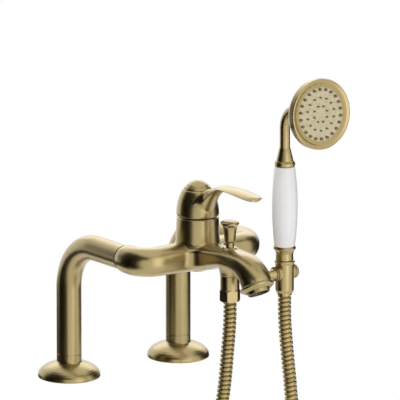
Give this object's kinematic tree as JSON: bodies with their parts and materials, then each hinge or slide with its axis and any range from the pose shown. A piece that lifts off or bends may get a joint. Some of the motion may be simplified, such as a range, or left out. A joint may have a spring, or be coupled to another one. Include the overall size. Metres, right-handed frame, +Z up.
{
  "type": "bath shower mixer",
  "caption": "Deck-mounted bath mixer on bent legs: single lever, pull-up diverter, swivel cradle and a ceramic-handled hand shower on a ribbed hose.",
  "frame": {"origin": "midway between the two threaded inlets, on the bath rim under the feet", "axes": "+X from the hot leg to the cold leg, -Y towards the spout's mouth, +Z up"},
  "size_m": [0.22, 0.3413, 0.5786],
  "materials": {
    "aged_brass": "satin",
    "stainless": "satin",
    "spray_face": "satin",
    "rubber": "matte",
    "plastic": "matte",
    "ceramic": "gloss",
    "hose_strip": "satin"
  },
  "bodies": {
    "mixer": {"left_foot": "aged_brass", "right_foot": "aged_brass", "left_foot_seal": "rubber", "right_foot_seal": "rubber", "foot_o_rings": "rubber", "left_leg": "aged_brass", "right_leg": "aged_brass", "left_union": "aged_brass", "right_union": "aged_brass", "union_o_rings": "rubber", "hot_check_valve": "plastic", "cold_check_valve": "plastic", "inlet_grub_screws": "stainless", "body_casting": "aged_brass", "cartridge_seals": "rubber", "cartridge_base": "plastic", "fixed_disc": "ceramic", "cartridge_housing": "plastic", "cartridge_nut": "aged_brass", "spout": "aged_brass", "diverter_bush": "aged_brass", "diverter_o_ring": "rubber", "shower_outlet": "aged_brass", "hose_washer": "rubber", "hose_nut": "aged_brass", "hose_nut_sleeve": "aged_brass", "aerator_seal": "rubber", "aerator_shell": "aged_brass", "aerator_insert": "plastic", "holder_arm": "aged_brass", "holder_pin": "stainless", "holder_washer": "rubber", "hose_outlet_run": "hose_strip", "hose_coil": "hose_strip", "hose_handset_low": "hose_strip", "coil_tie": "rubber"},
    "turn": {"lever_carrier": "plastic", "moving_disc": "ceramic", "lever_pin": "stainless"},
    "lever": {"lever_stem": "stainless", "lever": "aged_brass", "lever_cap": "aged_brass", "lever_grub_screw": "stainless"},
    "diverter": {"diverter_rod": "stainless", "diverter_washers": "rubber", "diverter_knob": "aged_brass"},
    "holder": {"holder": "aged_brass", "holder_button": "aged_brass", "hose_handset_top": "hose_strip"},
    "handset": {"hose_cone": "aged_brass", "handset_ferrule": "aged_brass", "handset_handle": "ceramic", "handset_core": "stainless", "handset_collar": "aged_brass", "handset_neck": "aged_brass", "rose_shell": "aged_brass", "rose_seal": "rubber", "nozzle_mat": "rubber", "spray_plate": "spray_face", "rose_ring": "aged_brass"}
  },
  "joints": [
    {"name": "lever_turn", "type": "hinge", "parent": "mixer", "child": "turn", "pos_m": [0, -0.14, 0.188], "axis": [0, 0, -1], "range_deg": [0, 45]},
    {"name": "lever_lift", "type": "hinge", "parent": "turn", "child": "lever", "pos_m": [0, -0.14, 0.188], "axis": [-1, 0, 0], "range_deg": [0, 22]},
    {"name": "diverter_pull", "type": "slide", "parent": "mixer", "child": "diverter", "axis": [0, 0, 1], "range_m": [0, 0.01]},
    {"name": "holder_tilt", "type": "hinge", "parent": "mixer", "child": "holder", "pos_m": [0.048, -0.236, 0.149], "axis": [1, 0, 0], "range_deg": [-15, 30], "deforming": ["hose_handset_low"]},
    {"name": "handset_lift", "type": "slide", "parent": "holder", "child": "handset", "axis": [0, 0, 1], "range_m": [0, 0.03], "deforming": ["hose_handset_top"]}
  ]
}
